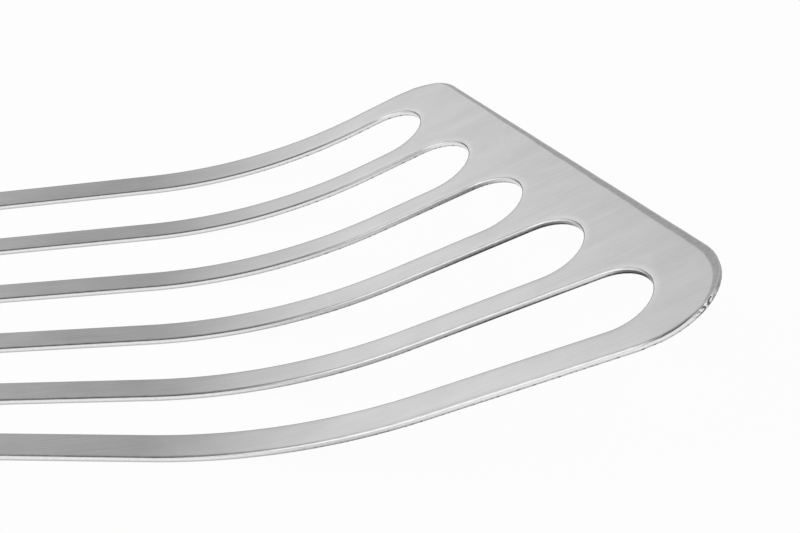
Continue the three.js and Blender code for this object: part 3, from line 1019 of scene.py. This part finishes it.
# Painted shadow in the floor's glow as metal sees it: dim, and nearly black under the front web
painted_shadow_dim = grey(0.55)
painted_shadow_dark = grey(0.04)
floor_mesh = bpy.data.meshes.new("floor")
corner_signs = ((-1, -1), (1, -1), (1, 1), (-1, 1))
floor_corners = [(floor_half * x, floor_half * y, floor_z) for x, y in corner_signs]
floor_mesh.from_pydata(floor_corners, [], [(0, 1, 2, 3)])
floor = bpy.data.objects.new("floor", floor_mesh)
bpy.context.collection.objects.link(floor)


def ray(field, kind):
    """1 for rays of a kind, 0 for others."""
    return field.make("ShaderNodeLightPath", None, None, kind)


floor_paint = bpy.data.materials.new("floor_paint")
floor_paint.use_nodes = True
tree = floor_paint.node_tree
tree.nodes.clear()
field = Value(tree)
glossy = ray(field, "Is Glossy Ray")
seen = ray(field, "Is Camera Ray") + glossy + ray(field, "Is Transmission Ray")
seen = field.maths("MINIMUM", seen, 1.0)
ahead = inner_place(field).part("X") - bend_x
aside = inner_place(field).part("Y") - axis_y
under = ahead.band(*shade_rear) * ahead.band(*shade_front)
under = under * aside.band(*shade_near) * aside.band(*shade_far)
# Painted shadow: the glow that metal sees is dimmed under the raised front and darkest under the front web
shade = under.blend(grey(1.0), ahead.band(*dim_to_dark).blend(painted_shadow_dim, painted_shadow_dark))
shade = glossy.blend(grey(1.0), shade)
diffuse = field.make("ShaderNodeBsdfDiffuse", None, {"Color": floor_white})
glow = field.make("ShaderNodeEmission", None, {"Color": shade, "Strength": 1.0})
mixed = field.make("ShaderNodeMixShader", None, {0: floor_glow * seen, 1: diffuse, 2: glow})
output = tree.nodes.new("ShaderNodeOutputMaterial")
tree.links.new(mixed.socket, output.inputs["Surface"])
floor_paint.cycles.emission_sampling = "NONE"
floor_mesh.materials.append(floor_paint)

# Light tent
# Plain walls of light round the tool, brighter on the left. The steel mirrors a pale wall and a window
# behind it, and a dark screen before it draws the thin dark lines along the rolled edges.
back_wall = grey(0.42)
back_window = grey(1.22)
back_left = grey(0.4)
back_right = grey(0.26)
back_foot = grey(0.05)
ceiling = grey(0.4)
dark_screen = grey(0.03)
front_fill = grey(0.8)
left_panel = grey(1.1)
left_lamp = grey(1.6)

# The directions between which each wall fades in, as the share of a unit step along one axis
back_from = 0.45, 0.75
window_from = 0.1, -0.36
back_left_from = -0.38, -0.5
back_right_from = 0.2, 0.6
back_above = 0.06, 0.24
screen_from = 0.05, -0.2
fill_from = -0.55, -0.8
fill_right_from = 0.08, 0.28
left_from = -0.32, -0.52
lamp_from = 0.08, -0.06
world = bpy.data.worlds.new("tent")
world.use_nodes = True
bpy.context.scene.world = world
tree = world.node_tree
tree.nodes.clear()
field = Value(tree)
facing = field.make("ShaderNodeTexCoord", None, None, "Generated")
toward_x = facing.part("X")
toward_y = facing.part("Y")
toward_z = facing.part("Z")
behind = toward_x.band(*window_from).blend(back_wall, back_window)
behind = toward_x.band(*back_left_from).blend(behind, back_left)
behind = toward_x.band(*back_right_from).blend(behind, back_right)
behind = toward_z.band(*back_above).blend(back_foot, behind)
before = toward_y.band(*screen_from).blend(ceiling, dark_screen)
before = toward_y.band(*fill_from).blend(before, front_fill)
before = toward_x.band(*fill_right_from).blend(before, front_fill)
leftward = toward_y.band(*lamp_from).blend(left_panel, left_lamp)
before = toward_x.band(*left_from).blend(before, leftward)
tent = toward_y.band(*back_from).blend(before, behind)
shown = ray(field, "Is Camera Ray").blend(tent, grey(1.0))
background = field.make("ShaderNodeBackground", None, {"Color": shown, "Strength": 1.0})
output = tree.nodes.new("ShaderNodeOutputWorld")
tree.links.new(background.socket, output.inputs["Surface"])

# Camera
# It stands where the photograph was taken from, measured from the start of the front bend, on the
# handle's axis and at the height of the sheet's upper face.
camera_from = np.array([11.03, -176.44, 97.3]) * mm
camera_forward = np.array([0.08335, 0.8688, -0.48809])
camera_up = np.array([0.09196, 0.481, 0.87189])
focal_pixels = 1800
photo_width = 800
lens = bpy.data.cameras.new("photo_view")
lens.sensor_width = 36
lens.lens = focal_pixels / photo_width * lens.sensor_width
lens.clip_start = 0.01
camera = bpy.data.objects.new("photo_view", lens)
bpy.context.collection.objects.link(camera)
camera_right = np.cross(camera_forward, camera_up)
camera_axes = np.stack([camera_right, camera_up, -camera_forward], 1)
placed = np.eye(4)
placed[:3, :3] = camera_axes / np.linalg.norm(camera_axes, axis=0)
placed[:3, 3] = camera_from + [bend_x, axis_y, sheet]
camera.matrix_world = mathutils.Matrix(placed.tolist())
bpy.context.scene.camera = camera
bpy.context.scene.view_settings.view_transform = "Standard"
